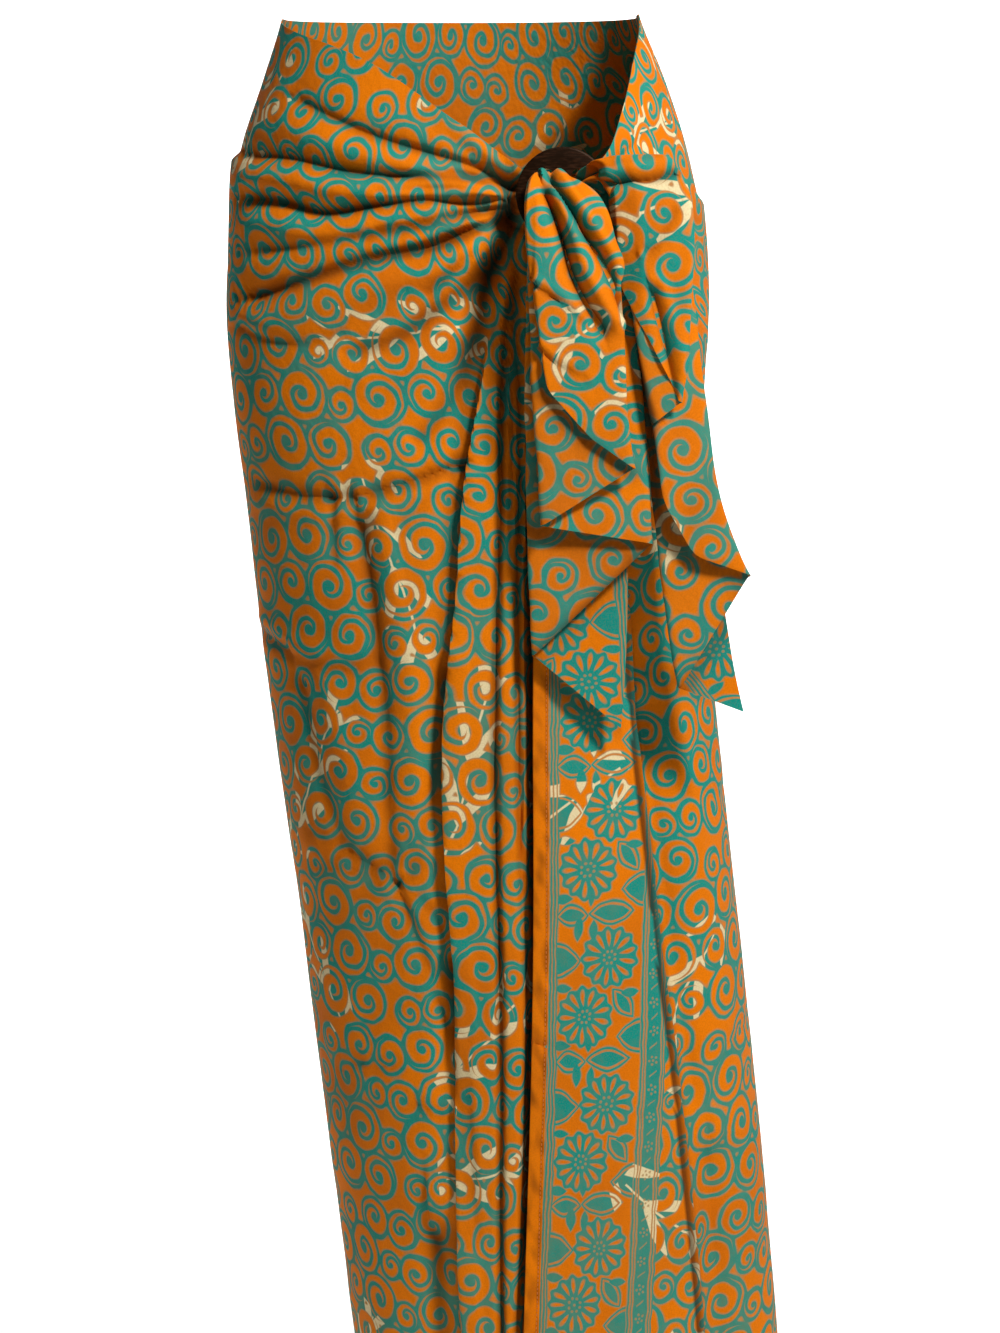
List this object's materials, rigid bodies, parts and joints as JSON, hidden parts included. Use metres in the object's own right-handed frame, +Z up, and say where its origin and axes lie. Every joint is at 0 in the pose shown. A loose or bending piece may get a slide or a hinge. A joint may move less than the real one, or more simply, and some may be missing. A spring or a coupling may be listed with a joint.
{
  "type": "sarong",
  "caption": "Ankle-length wrap sarong in its worn shape, open at waist and hem, gathered at the front through a round two-slot buckle with both corners hanging as folded tails.",
  "frame": {"origin": "centre of the waist opening, level with the top edge at the sides", "axes": "+Z up the wearer, -Y towards the front with the buckle, +X towards the wearer's left"},
  "size_m": [0.4113, 0.2961, 1.1795],
  "materials": {
    "batik_cloth": "matte",
    "hem_cloth": "matte",
    "coconut_shell": "polished"
  },
  "bodies": {
    "root": {"left_front": "batik_cloth", "right_front": "batik_cloth", "back_wrap": "batik_cloth", "hem_strip": "hem_cloth", "left_tail": "batik_cloth", "right_tail": "batik_cloth", "buckle": "coconut_shell"}
  },
  "joints": []
}
